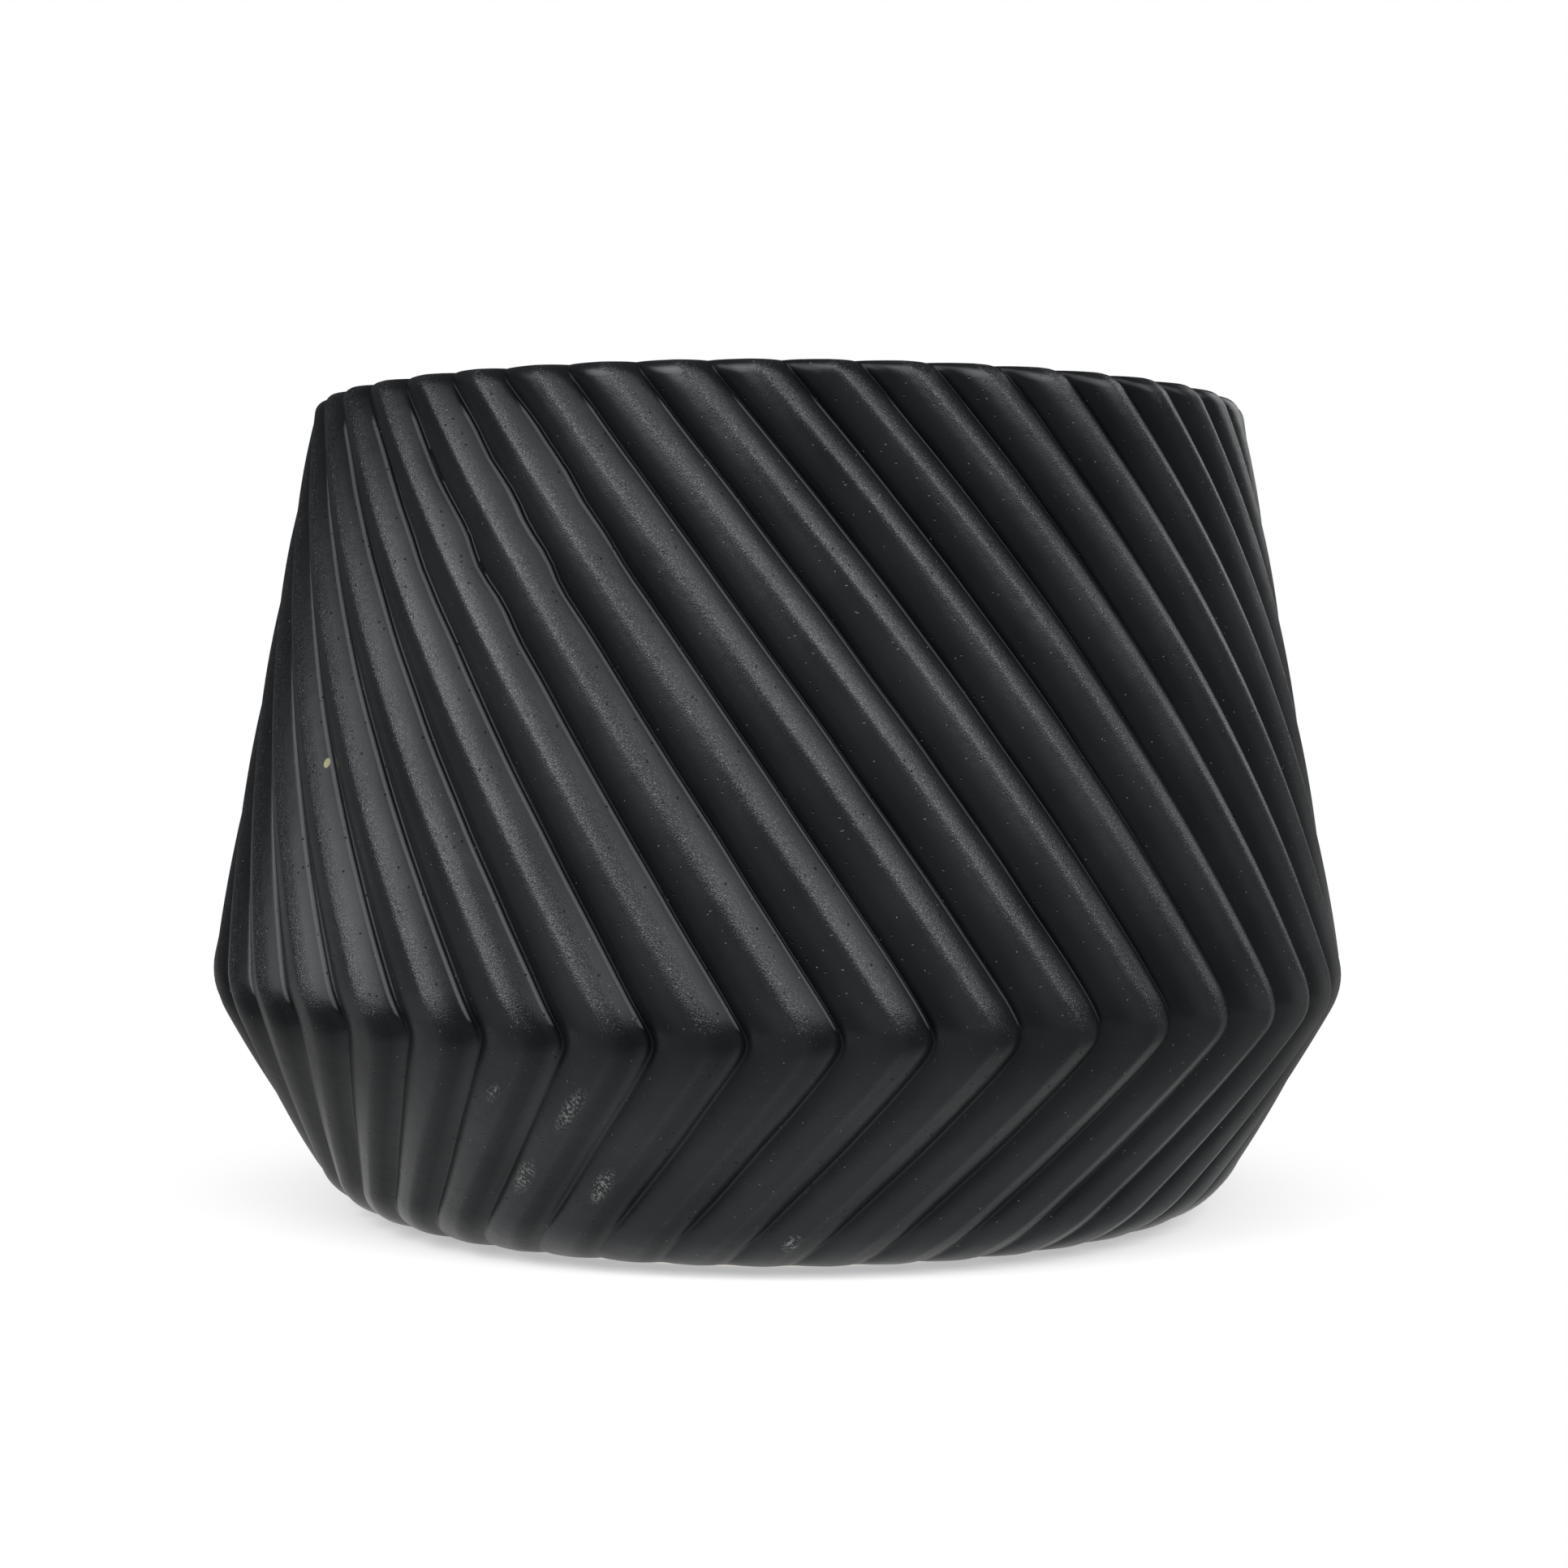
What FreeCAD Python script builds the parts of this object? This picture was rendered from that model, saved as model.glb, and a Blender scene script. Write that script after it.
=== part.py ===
import FreeCAD, Part
import math
import os

# An empty candle jar: one slip-cast clay pot with chevron ribs, under three coats of glaze.
# Millimetres, +Z up. The origin is the centre of the foot ring, on the surface that the jar stands on.
# Angles round the jar are measured from -Y towards +X.

# Outside form: two cones that meet at a rounded belly line. Radii are over the rib crests and
# run out to the sharp corners, which the roundings then take off.
HEIGHT = 76.2
RIM_RADIUS = 44.0
BELLY_RADIUS = 54.0
BELLY_HEIGHT = 21.8
BASE_RADIUS = 41.6
RIM_ROUND = 1.7
BELLY_ROUND = 6.9
BASE_ROUND = 8.4

# Ribs: each has two gently curved faces that meet at a softened crest edge, and that steepen into
# the narrow grooves on both sides. It follows a straight line on the unrolled cone and leans the
# same way above and below the belly, which makes a chevron. The chevrons' points lie a little
# under the belly line. Fullness 1 would make the faces upright in the grooves.
RIB_COUNT = 43
CHEVRON_ANGLE = math.radians(5.7)
CHEVRON_HEIGHT = 20.8
CHEVRON_ROUND = 1.0
UPPER_LEAN = math.radians(32.1)
LOWER_LEAN = math.radians(32.4)
CREST_PLACE = 0.60
CREST_EDGE = 0.34
CREST_SOFTNESS = 0.04
ARCH_FULLNESS = 0.97
ARCH_POWER = 3
GROOVE_DEPTH = 1.9
GROOVE_DEPTH_AT_RIM = 1.5
GROOVE_DEPTH_AT_BASE = 1.3
GROOVE_FADE = 7.0

# Inside form, to the glazed surfaces.
WALL = 5.0
FLOOR_HEIGHT = 6.0
MOUTH_RADIUS = 39.3
MOUTH_LAND = 4.6
LIP_ROUND = 1.3
LAND_ROUND = 6.0
INNER_BELLY_ROUND = 8.0
INNER_FLOOR_ROUND = 7.0

# Glaze coats and the bare foot ring.
GLAZE = 0.45
GLAZE_POOLING = 0.2
FOOT_OUTER_RADIUS = 35.0
FOOT_INNER_RADIUS = 30.5
FOOT_HEIGHT = 0.4
FOOT_ROUND = 0.3
RECESS_DEPTH = 1.6

# How finely the ribbed surface is sampled.
POINTS_ACROSS_RIB = 15
CONE_STEP = 6.5
ROUND_STEP = math.radians(6.0)
NO_LENGTH = 1e-6

AXIS_BASE = FreeCAD.Vector(0, 0, 0)
AXIS = FreeCAD.Vector(0, 0, 1)
RIB_PITCH = 2 * math.pi / RIB_COUNT
SPLIT_RADIUS = MOUTH_RADIUS + LIP_ROUND


def unit(dr, dz):
    length = math.hypot(dr, dz)
    return dr / length, dz / length


def corner_round(before, corner, after, radius):
    """Tangent length and the two unit directions away from a corner that gets a rounding."""
    to_before = unit(before[0] - corner[0], before[1] - corner[1])
    to_after = unit(after[0] - corner[0], after[1] - corner[1])
    opening = math.acos(to_before[0] * to_after[0] + to_before[1] * to_after[1])
    return radius / math.tan(opening / 2), to_before, to_after, opening


def along(corner, direction, distance):
    return corner[0] + direction[0] * distance, corner[1] + direction[1] * distance


def arc_points(before, corner, after, radius, count):
    """Points on the rounding of a corner, from one tangent point to the other."""
    tangent, to_before, to_after, opening = corner_round(before, corner, after, radius)
    middle = unit(to_before[0] + to_after[0], to_before[1] + to_after[1])
    centre = along(corner, middle, radius / math.sin(opening / 2))
    start = along(corner, to_before, tangent)
    end = along(corner, to_after, tangent)
    first = math.atan2(start[1] - centre[1], start[0] - centre[0])
    sweep = math.atan2(end[1] - centre[1], end[0] - centre[0]) - first
    sweep = (sweep + math.pi) % (2 * math.pi) - math.pi
    turns = [first + sweep * i / (count - 1) for i in range(count)]
    return [(centre[0] + radius * math.cos(t), centre[1] + radius * math.sin(t)) for t in turns]


def roundings(corners, radii):
    """The points of each rounding along a path, from one tangent point to the other."""
    arcs = []
    for before, corner, after, radius in zip(corners, corners[1:], corners[2:], radii[1:]):
        opening = corner_round(before, corner, after, radius)[3]
        count = math.ceil((math.pi - opening) / ROUND_STEP) + 1
        arcs.append(arc_points(before, corner, after, radius, count))
    return arcs


def rounded_edges(corners, radii):
    """Straight and arc edges, in the XZ plane, along a path whose inner corners are rounded."""
    edges = []
    last = corners[0]
    for before, corner, after, radius in zip(corners, corners[1:], corners[2:], radii[1:]):
        start, middle, end = arc_points(before, corner, after, radius, 3)
        if math.dist(last, start) > NO_LENGTH:
            edges.append(Part.makeLine(profile_point(last), profile_point(start)))
        arc = Part.Arc(profile_point(start), profile_point(middle), profile_point(end))
        edges.append(arc.toShape())
        last = end
    edges.append(Part.makeLine(profile_point(last), profile_point(corners[-1])))
    return edges


def profile_point(point):
    return FreeCAD.Vector(point[0], 0, point[1])


def turned(edges):
    """The faces swept by profile edges turned once round the jar's axis."""
    faces = []
    for edge in edges:
        faces += edge.revolve(AXIS_BASE, AXIS, 360).Faces
    return faces


def crossing(point, direction, other, other_direction):
    """Where two lines cross. Each is given by a point and a unit direction."""
    cross = direction[0] * other_direction[1] - direction[1] * other_direction[0]
    gap = (other[0] - point[0], other[1] - point[1])
    return along(point, direction, (gap[0] * other_direction[1] - gap[1] * other_direction[0]) / cross)


def offset_path(corners, radii, distance):
    """The path moved sideways, to its left as it runs, with its roundings kept parallel."""
    directions = [unit(b[0] - a[0], b[1] - a[1]) for a, b in zip(corners, corners[1:])]
    sides = [along(c, (-d[1], d[0]), distance) for c, d in zip(corners, directions)]
    moved = [sides[0]]
    new_radii = [0]
    for i in range(1, len(directions)):
        d1, d2 = directions[i - 1], directions[i]
        moved.append(crossing(sides[i - 1], d1, sides[i], d2))
        new_radii.append(radii[i] - distance * math.copysign(1, d1[0] * d2[1] - d1[1] * d2[0]))
    moved.append(along(corners[-1], (-directions[-1][1], directions[-1][0]), distance))
    return moved, new_radii + [0]


def cone_twist(radius, end_radius, slope_height, lean):
    """Angle that a straight line on the unrolled cone has turned by, from the belly to a radius."""
    taper = (BELLY_RADIUS - end_radius) / math.hypot(BELLY_RADIUS - end_radius, slope_height)
    return (math.asin(math.sin(lean) * BELLY_RADIUS / radius) - lean) / taper


def twist(z):
    """How far a rib has turned back at a height, with its chevron point rounded off."""
    rise = z - CHEVRON_HEIGHT
    distance = math.hypot(rise, CHEVRON_ROUND) - CHEVRON_ROUND
    if rise > 0:
        end_radius, slope_height, lean = RIM_RADIUS, HEIGHT - CHEVRON_HEIGHT, UPPER_LEAN
    else:
        end_radius, slope_height, lean = BASE_RADIUS, CHEVRON_HEIGHT - FOOT_HEIGHT, LOWER_LEAN
    radius = BELLY_RADIUS + (end_radius - BELLY_RADIUS) * distance / slope_height
    return cone_twist(radius, end_radius, slope_height, lean)


def fade(distance):
    """Smooth step from 0 at an end of the ribs to 1 where the grooves have their full depth."""
    t = min(1, max(0, distance / GROOVE_FADE))
    return t * t * (3 - 2 * t)


def groove_depth(z):
    rim_loss = (GROOVE_DEPTH - GROOVE_DEPTH_AT_RIM) * (1 - fade(HEIGHT - z))
    base_loss = (GROOVE_DEPTH - GROOVE_DEPTH_AT_BASE) * (1 - fade(z - FOOT_HEIGHT))
    return GROOVE_DEPTH - rim_loss - base_loss


def softened(t, softness):
    """0 at 0 and 1 at 1, and straight between them but for a soft start."""
    return (math.hypot(t, softness) - softness) / (math.hypot(1, softness) - softness)


def arch(t):
    """0 at 0 and 1 at 1, nearly flat at first and then ever steeper."""
    def sink(share):
        return 1 - math.sqrt(1 - share ** ARCH_POWER)
    return sink(ARCH_FULLNESS * t) / sink(ARCH_FULLNESS)


def rib_drop(place):
    """Depth below the crest, from 0 to 1, at a place from 0 to 1 across a rib."""
    reach = CREST_PLACE if place < CREST_PLACE else 1 - CREST_PLACE
    t = abs(place - CREST_PLACE) / reach
    return CREST_EDGE * softened(t, CREST_SOFTNESS) + (1 - CREST_EDGE) * arch(t)


def outside_path(inset):
    """Corners and roundings down the outside, over the crests, a given depth under the glaze."""
    corners = [
        (SPLIT_RADIUS, HEIGHT),
        (RIM_RADIUS, HEIGHT),
        (BELLY_RADIUS, BELLY_HEIGHT),
        (BASE_RADIUS, FOOT_HEIGHT),
        (FOOT_OUTER_RADIUS, FOOT_HEIGHT),
    ]
    return offset_path(corners, [0, RIM_ROUND, BELLY_ROUND, BASE_ROUND, 0], -inset)


def rib_section(crest, inset):
    """Points across one rib, from groove to groove, where its crest has this radius and height."""
    radius, z = crest
    # Glaze runs into the grooves, so the clay under it is a little deeper there.
    depth = groove_depth(z) + GLAZE_POOLING * inset / GLAZE
    points = []
    for i in range(POINTS_ACROSS_RIB):
        place = (1 - math.cos(math.pi * i / (POINTS_ACROSS_RIB - 1))) / 2
        r = radius - depth * rib_drop(place)
        angle = CHEVRON_ANGLE + place * RIB_PITCH - twist(z)
        points.append(FreeCAD.Vector(r * math.sin(angle), -r * math.cos(angle), z))
    return points


def smooth_patch(sections):
    """One smooth surface through the sections of a rib, with its first and last edges."""
    surface = Part.BSplineSurface()
    surface.interpolate([list(line) for line in zip(*sections)])
    first, last = surface.bounds()[2:]
    return surface.toShape(), surface.vIso(first).toShape(), surface.vIso(last).toShape()


def section_edge(points):
    curve = Part.BSplineCurve()
    curve.interpolate(points)
    return curve.toShape()


def rib_faces(inset):
    """One rib, from the rim to the foot: smooth on the roundings, with ruled strips between them."""
    faces = []
    edges = []
    last = None
    for arc in roundings(*outside_path(inset)):
        patch, start, end = smooth_patch([rib_section(crest, inset) for crest in arc])
        if last:
            gap = math.dist(last, arc[0])
            count = round(gap / CONE_STEP)
            slope = unit(arc[0][0] - last[0], arc[0][1] - last[1])
            crests = [along(last, slope, gap * i / count) for i in range(1, count)]
            edges += [section_edge(rib_section(crest, inset)) for crest in crests] + [start]
            faces += [Part.makeRuledSurface(a, b) for a, b in zip(edges, edges[1:])]
        faces.append(patch)
        edges = [end]
        last = arc[-1]
    return faces


def end_wire(faces, z):
    """The closed scalloped outline that the ribs make at one of their ends."""
    flat = [e for f in faces for e in f.Edges if e.BoundBox.ZLength < NO_LENGTH]
    edges = [e for e in flat if abs(e.BoundBox.ZMin - z) < NO_LENGTH]
    return Part.Wire(Part.__sortEdges__(edges))


def ribbed_wall(inset):
    """All ribs, with the scalloped outlines at their top and bottom."""
    rib = Part.makeCompound(rib_faces(inset))
    faces = []
    for i in range(RIB_COUNT):
        copy = rib.copy()
        copy.rotate(AXIS_BASE, AXIS, math.degrees(RIB_PITCH * i))
        faces += copy.Faces
    top = end_wire(faces, HEIGHT - inset)
    bottom = end_wire(faces, FOOT_HEIGHT + inset)
    return faces, top, bottom


def ring_face(outline, radius, z):
    """The flat face between a scalloped outline and a circle inside it."""
    circle = Part.Wire(Part.makeCircle(radius, FreeCAD.Vector(0, 0, z), AXIS))
    return Part.makeFace([outline, circle], "Part::FaceMakerBullseye")


def closed_solid(faces):
    compound = Part.makeCompound(faces)
    compound.sewShape()
    solid = Part.Solid(compound.Shells[0])
    if solid.Volume < 0:
        solid.reverse()
    return solid


def wall_line(outer_start, outer_end):
    """A line parallel to an outside cone, one wall thickness inside it: a point and a direction."""
    direction = unit(outer_end[0] - outer_start[0], outer_end[1] - outer_start[1])
    return along(outer_start, (direction[1], -direction[0]), WALL), direction


def inside_path():
    """Corners and roundings of the glazed inside, from the lip to the centre of the floor."""
    belly = (BELLY_RADIUS, BELLY_HEIGHT)
    upper_point, upper = wall_line((RIM_RADIUS, HEIGHT), belly)
    lower_point, lower = wall_line(belly, (BASE_RADIUS, FOOT_HEIGHT))
    corners = [
        (SPLIT_RADIUS + LIP_ROUND, HEIGHT),
        (MOUTH_RADIUS, HEIGHT),
        (MOUTH_RADIUS, HEIGHT - LIP_ROUND - MOUTH_LAND),
        crossing(upper_point, upper, lower_point, lower),
        crossing(lower_point, lower, (0, FLOOR_HEIGHT), (1, 0)),
        (0, FLOOR_HEIGHT),
    ]
    return corners, [0, LIP_ROUND, LAND_ROUND, INNER_BELLY_ROUND, INNER_FLOOR_ROUND, 0]


def inside_edges(inset):
    corners, radii = inside_path()
    if inset:
        corners, radii = offset_path(corners, radii, inset)
    return rounded_edges(corners, radii)[1:]


def underside_edges():
    """From the ribs' underside down round the bare foot ring and up into the recess."""
    corners = [
        (FOOT_OUTER_RADIUS, FOOT_HEIGHT + GLAZE),
        (FOOT_OUTER_RADIUS, 0),
        (FOOT_INNER_RADIUS, 0),
        (FOOT_INNER_RADIUS, RECESS_DEPTH + GLAZE),
    ]
    edges = rounded_edges(corners, [0, FOOT_ROUND, FOOT_ROUND, 0])
    ceiling = (0, RECESS_DEPTH + GLAZE)
    return edges + [Part.makeLine(profile_point(corners[-1]), profile_point(ceiling))]


def clay_body():
    ribs, top, bottom = ribbed_wall(GLAZE)
    rim = ring_face(top, SPLIT_RADIUS, HEIGHT - GLAZE)
    toe = ring_face(bottom, FOOT_OUTER_RADIUS, FOOT_HEIGHT + GLAZE)
    return closed_solid(ribs + [rim, toe] + turned(inside_edges(GLAZE)) + turned(underside_edges()))


def outer_glaze():
    faces = []
    for inset in (0, GLAZE):
        ribs, top, bottom = ribbed_wall(inset)
        faces += ribs
        faces.append(ring_face(top, SPLIT_RADIUS, HEIGHT - inset))
        faces.append(ring_face(bottom, FOOT_OUTER_RADIUS, FOOT_HEIGHT + inset))
    for radius, z in ((SPLIT_RADIUS, HEIGHT - GLAZE), (FOOT_OUTER_RADIUS, FOOT_HEIGHT)):
        end = Part.makeLine(profile_point((radius, z)), profile_point((radius, z + GLAZE)))
        faces += turned([end])
    return closed_solid(faces)


def liner_glaze():
    lip = Part.makeLine(
        profile_point((SPLIT_RADIUS, HEIGHT)),
        profile_point((SPLIT_RADIUS, HEIGHT - GLAZE)),
    )
    return closed_solid(turned([lip] + inside_edges(0) + inside_edges(GLAZE)))


def base_glaze():
    return Part.makeCylinder(FOOT_INNER_RADIUS, GLAZE, FreeCAD.Vector(0, 0, RECESS_DEPTH))


def main():
    os.makedirs("parts", exist_ok=True)
    for build in (clay_body, outer_glaze, liner_glaze, base_glaze):
        build().exportStep("parts/" + build.__name__ + ".step")


main()
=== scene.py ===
import math

import bmesh
import bpy
import numpy as np
from mathutils import Matrix, Vector, noise


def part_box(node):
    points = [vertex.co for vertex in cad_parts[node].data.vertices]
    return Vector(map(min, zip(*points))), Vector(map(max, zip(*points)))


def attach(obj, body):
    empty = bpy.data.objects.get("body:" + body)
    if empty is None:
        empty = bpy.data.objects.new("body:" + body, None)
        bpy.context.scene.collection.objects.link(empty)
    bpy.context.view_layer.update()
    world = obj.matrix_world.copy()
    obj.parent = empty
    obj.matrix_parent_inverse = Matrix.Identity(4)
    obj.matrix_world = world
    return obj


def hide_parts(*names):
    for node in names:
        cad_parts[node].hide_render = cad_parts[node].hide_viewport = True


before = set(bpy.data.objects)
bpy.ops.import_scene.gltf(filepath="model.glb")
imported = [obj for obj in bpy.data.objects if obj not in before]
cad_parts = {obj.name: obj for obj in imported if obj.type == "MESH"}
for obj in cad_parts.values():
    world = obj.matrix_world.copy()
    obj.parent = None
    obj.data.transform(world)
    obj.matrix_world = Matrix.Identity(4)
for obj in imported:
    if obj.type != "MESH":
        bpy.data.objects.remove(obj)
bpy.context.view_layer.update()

# An empty candle jar: a slip-cast pot with chevron ribs under matte black glaze. Metres, +Z up.
# Angles round the jar are measured from -Y, the side that the camera sees, towards +X.
# A place across a rib runs from 0 to 1, from the groove on its left to the groove on its right.
# Two coats and a patch of glaze replace the frame's. The clay under them stays, in a new material.

MM = 0.001
DEGREE = math.pi / 180

# ---------------------------------------------------------------- the jar's sizes, from the frame
outer_low, outer_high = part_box("outer_glaze")
puddle_low, puddle_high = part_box("base_glaze")
HEIGHT = outer_high.z
TOE_HEIGHT = outer_low.z
PUDDLE_BOTTOM = puddle_low.z
PUDDLE_TOP = puddle_high.z
PUDDLE_RADIUS = puddle_high.x

# ---------------------------------------------------------------- the outside form
RIM_RADIUS = 44.0 * MM
BELLY_RADIUS = 54.0 * MM
BELLY_HEIGHT = 21.8 * MM
BASE_RADIUS = 41.6 * MM
RIM_ROUND = 1.7 * MM
BELLY_ROUND = 6.9 * MM
BASE_ROUND = 8.4 * MM
SPLIT_RADIUS = 40.6 * MM
FOOT_OUTER_RADIUS = 35.0 * MM

# ---------------------------------------------------------------- the ribs
RIB_COUNT = 43
RIB_PITCH = 2 * math.pi / RIB_COUNT
CHEVRON_ANGLE = 5.7 * DEGREE
CHEVRON_HEIGHT = 20.8 * MM
CHEVRON_ROUND = 1.0 * MM
UPPER_LEAN = 32.1 * DEGREE
LOWER_LEAN = 32.4 * DEGREE
CREST_PLACE = 0.60
CREST_EDGE = 0.34
CREST_SOFTNESS = 0.04
ARCH_FULLNESS = 0.97
ARCH_POWER = 3
GROOVE_DEPTH = 1.9 * MM
GROOVE_DEPTH_AT_RIM = 1.5 * MM
GROOVE_DEPTH_AT_BASE = 1.3 * MM
GROOVE_FADE = 7.0 * MM

# ---------------------------------------------------------------- the glaze on it
# Glaze fills the groove bottoms, stands as a fine bead along one edge of each upper groove, and
# wavers. It wavers most in the runs under the rim on one side, and one drip hangs there.
GROOVE_FILL = 0.14
LOWER_GROOVE_FILL = 0.42
LOWER_FILL_FADE = 3.0 * MM
GROOVE_FILL_CHANGE = 0.06
GLAZE_BACK = 0.35 * MM
GLAZE_SWELL = 0.05 * MM
GLAZE_RIPPLE = 0.02 * MM
SWELL_SCALE = 90
RIPPLE_SCALE = 420
FILL_SHIFT = 7.0
RIPPLE_SHIFT = 3.0
BEAD_PLACE = 0.975
BEAD_REACH = 0.012
BEAD_RAMP = 0.05
BEAD_HEIGHT = 0.20 * MM
TOOTH_START = 0.53
TOOTH_RISE = 0.06
TOOTH_FADE = 0.34
LOWER_TOOTH = 0.12
TIP_HEIGHT = 21.4 * MM
TIP_FADE = 1.0 * MM
WAVER = 0.10 * MM
WAVER_REACH = 0.12
WAVER_SCALE = 130
WAVER_SHIFT = 11.0
RUN_WAVER = 0.95 * MM
RUN_SCALE = 170
RUN_SHIFT = 23.0
RUN_ANGLE = -31 * DEGREE
RUN_SPREAD = 14 * DEGREE
RUN_HEIGHT = 48 * MM
RUN_FADE = 12 * MM
DRIP_RIB = 39.80
DRIP_REACH = 0.045
DRIP_HEIGHT = 0.28 * MM
DRIP_MIDDLE = 34 * MM
DRIP_HALF_LENGTH = 4 * MM

# How glossy the glaze is at places across a rib, above and below the chevron points. It is
# glossiest on the crests and driest beside the grooves, and duller near the rim and the base.
UPPER_SHEEN = {
    0: 0.34, 0.16: 0.32, 0.22: 0.36, 0.28: 0.50, 0.34: 0.70, 0.40: 0.84, 0.54: 0.88,
    0.58: 1.0, 0.61: 1.0, 0.656: 0.84, 0.72: 0.58, 0.80: 0.40, 0.90: 0.28, 1: 0.20,
}
LOWER_SHEEN = {0: 0.48, 0.12: 0.56, 0.30: 0.66, 0.60: 0.58, 0.70: 0.30, 0.85: 0.24, 1: 0.48}
RIM_SHEEN = 0.72
RIM_SHEEN_START = 56 * MM
RIM_SHEEN_RISE = 18 * MM
BASE_SHEEN = 0.6
BASE_SHEEN_START = 5 * MM
BASE_SHEEN_RISE = 11 * MM

# What the outside's points are painted with for its material to read.
# The groove mark carries painted shade, and the edge mark carries a painted highlight.
MARKS = ("groove", "edge", "tooth", "sheen")

# ---------------------------------------------------------------- the inside form
MOUTH_RADIUS = 39.3 * MM
LIP_ROUND = 1.3 * MM
MOUTH_LAND = 4.6 * MM
WALL = 5.0 * MM
FLOOR_HEIGHT = 6.0 * MM
LAND_ROUND = 6.0 * MM
INNER_BELLY_ROUND = 8.0 * MM
INNER_FLOOR_ROUND = 7.0 * MM
RIB_GHOST = 0.12 * MM
PUDDLE_EDGE = 1.2 * MM
PUDDLE_SWELL = 0.12 * MM

# ---------------------------------------------------------------- mesh fineness
COLUMNS_PER_RIB = 20
GROOVE_CROWDING = 5.0
GROOVE_REACH = 0.06
CREST_CROWDING = 1.5
CREST_REACH = 0.06
CONE_STEP = 1.3 * MM
ARC_STEP = 0.7 * MM
MAX_ARC_TURN = 12 * DEGREE
NO_LENGTH = 1e-7
BACK_ROW_EVERY = 6
INSIDE_COLUMNS = 6 * RIB_COUNT
PUDDLE_ROWS = 40
PLACE_SAMPLES = 2001

# ---------------------------------------------------------------- colours
BLACK = (0.0062, 0.0068, 0.0078, 1)
WORN_BLACK = (0.010, 0.0108, 0.012, 1)
# Painted shade: the black that darkens the groove bottoms and the pinholes.
PAINTED_SHADE_BLACK = (0.004, 0.004, 0.0045, 1)
# Painted highlight: a pale line along the beads' edges.
EDGE_HIGHLIGHT_GREY = (0.095, 0.098, 0.104, 1)
# Painted highlight: pale specks that break the crest highlight into grains.
GLINT_SPECK_GREY = (0.12, 0.124, 0.13, 1)
COOL_SHEEN = (0.93, 0.97, 1.0, 1)
DUST = (0.17, 0.17, 0.165, 1)
SCUFF = (0.30, 0.305, 0.305, 1)
FLECK = (0.34, 0.32, 0.17, 1)
DEEP_CLAY = (0.55, 0.49, 0.41, 1)
PALE_CLAY = (0.66, 0.61, 0.53, 1)
IRON = (0.17, 0.11, 0.07, 1)
WHITE = (1, 1, 1, 1)
FLOOR_COLOUR = (0.88, 0.88, 0.88, 1)
WORLD_COLOUR = (0.94, 0.97, 1, 1)

# ---------------------------------------------------------------- materials
# A noise is its cells per metre, its octaves of detail and how strong each finer octave is.
# A range is the part of a noise, or of a mark, over which something comes in.
WEAR_NOISE = (140, 4, 0.5)
WEAR_RANGE = (0.35, 0.7)
SATIN_NOISE = (90, 5, 0.6)
SATIN_RANGE = (0.3, 0.7)
GRIT_NOISE = (7600, 2, 0.6)
# The part of the grit noise that becomes painted highlight specks.
GLINT_SPECK_RANGE = (0.60, 0.66)
GAP_RANGE = (0.47, 0.40)
PATCH_NOISE = (55, 3, 0.5)
PATCH_RANGE = (0.35, 0.65)
GRAIN_NOISE = (8500, 2, 0.5)
ROLL_NOISE = (700, 3, 0.5)
SCUFF_NOISE = (3600, 3, 0.7)
SCUFF_RANGE = (0.51, 0.57)
CLAY_NOISE = (160, 4, 0.5)
CLAY_RANGE = (0.3, 0.7)
CLAY_DRY_NOISE = (500, 2, 0.5)
CLAY_TOOTH_NOISE = (3500, 4, 0.5)
# How deep into a groove the painted shade comes in.
GROOVE_SHADE_RANGE = (0.75, 1.0)
# Where along the bead the painted highlight comes in.
EDGE_HIGHLIGHT_RANGE = (0.65, 0.9)
FLECK_RANGE = (0.4, 0.5)

# Spots are their cells per metre, their radius and the share of it inside their soft edge.
DUST_SPOTS = (800, 0.072 * MM, 0.6)
PIT_SPOTS = (950, 0.12 * MM, 0.4)
IRON_SPOTS = (900, 0.12 * MM, 0.4)

GRAIN_DEPTH = 0.06 * MM
ROLL_DEPTH = 0.03 * MM
PIT_DEPTH = 0.05 * MM
CLAY_TOOTH_DEPTH = 0.06 * MM
CLAY_ROUGHNESS = (0.78, 0.9)
GLAZE_IOR = 1.45
SATIN_DIP = 0.04
SATIN_RISE = 0.05
SMOOTH_TOOTH = 0.2
WALL_TOOTH = 0.15
GRIT_GAP = 0.45
PATCH_LOW = 0.85
PATCH_HIGH = 1.12

# Scuffs low on the front: angle in degrees, then height, width and length in millimetres.
SCUFFS = (
    (-27.5, 15.9, 1.3, 3.0),
    (-19.8, 14.8, 1.7, 7.0),
    (-27.6, 8.2, 2.0, 6.0),
    (-18.4, 8.1, 1.9, 5.2),
    (1.6, 3.2, 1.6, 3.0),
)
SCUFF_TURN = (32 * DEGREE, 34 * DEGREE, 0)
FLECK_ANGLE = -52.3 * DEGREE
FLECK_RADIUS = 49.2 * MM
FLECK_HEIGHT = 42.6 * MM
FLECK_WIDTH = 1.1 * MM
FLECK_LENGTH = 2.2 * MM

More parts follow.
